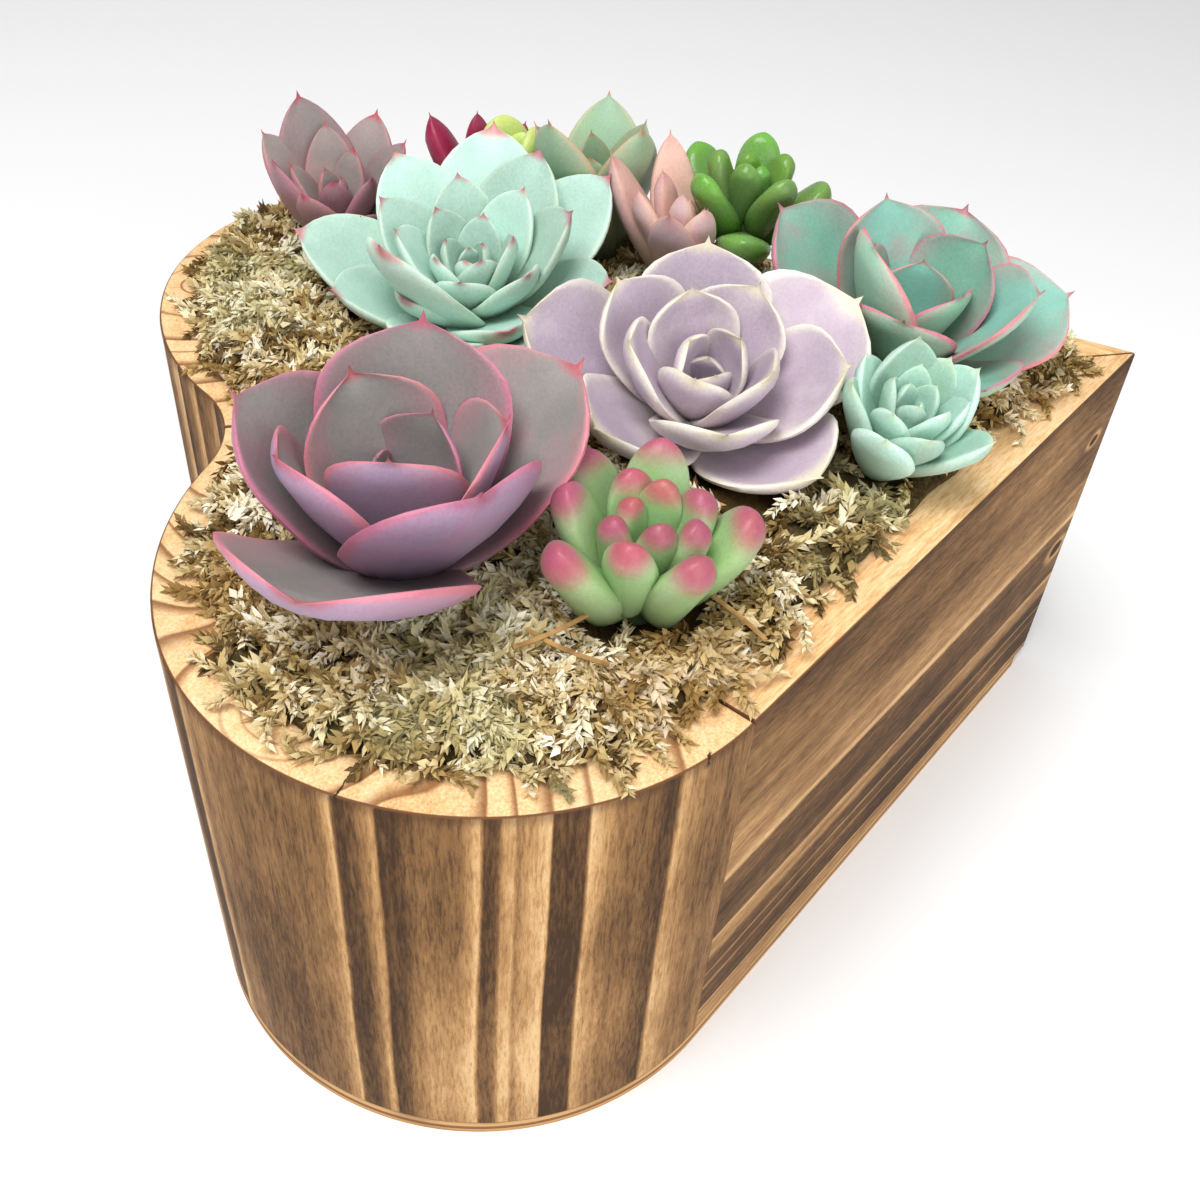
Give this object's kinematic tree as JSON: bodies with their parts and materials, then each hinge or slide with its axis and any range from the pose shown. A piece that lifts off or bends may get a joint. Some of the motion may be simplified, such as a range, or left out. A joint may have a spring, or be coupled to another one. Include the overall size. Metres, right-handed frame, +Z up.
{
  "type": "succulent arrangement",
  "caption": "Heart-shaped torched wooden planter with straight sides and rounded lobes, filled with soil, dry moss and crowded succulent rosettes.",
  "frame": {"origin": "underside of the base board, on the heart's mirror line, half way between the point and the tops of the lobes", "axes": "+Z up out of the planter's mouth, +Y from the heart's point towards its lobes, +X towards the right lobe"},
  "size_m": [0.2262, 0.2298, 0.1474],
  "materials": {
    "torched_wood": "satin",
    "plywood": "matte",
    "soil": "matte",
    "dry_moss": "matte",
    "lilac_echeveria_leaf": "satin",
    "purple_echeveria_leaf": "satin",
    "mint_echeveria_leaf": "satin",
    "red_edged_echeveria_leaf": "satin",
    "jelly_bean_sedum_leaf": "satin",
    "small_mint_echeveria_leaf": "satin",
    "peach_pachyphytum_leaf": "satin",
    "green_sedum_leaf": "satin",
    "grey_green_echeveria_leaf": "satin",
    "mauve_graptoveria_leaf": "satin",
    "yellow_sedum_leaf": "satin",
    "red_sedum_leaf": "satin"
  },
  "bodies": {
    "root": {"base_board": "plywood", "left_lobe_block": "torched_wood", "right_lobe_block": "torched_wood", "left_side_board": "torched_wood", "right_side_board": "torched_wood", "potting_soil": "soil", "moss_bed": "dry_moss", "lilac_echeveria": "lilac_echeveria_leaf", "purple_echeveria": "purple_echeveria_leaf", "mint_echeveria": "mint_echeveria_leaf", "red_edged_echeveria": "red_edged_echeveria_leaf", "jelly_bean_sedum": "jelly_bean_sedum_leaf", "small_mint_echeveria": "small_mint_echeveria_leaf", "peach_pachyphytum": "peach_pachyphytum_leaf", "green_sedum": "green_sedum_leaf", "grey_green_echeveria": "grey_green_echeveria_leaf", "mauve_graptoveria": "mauve_graptoveria_leaf", "yellow_sedum": "yellow_sedum_leaf", "red_sedum": "red_sedum_leaf"}
  },
  "joints": []
}
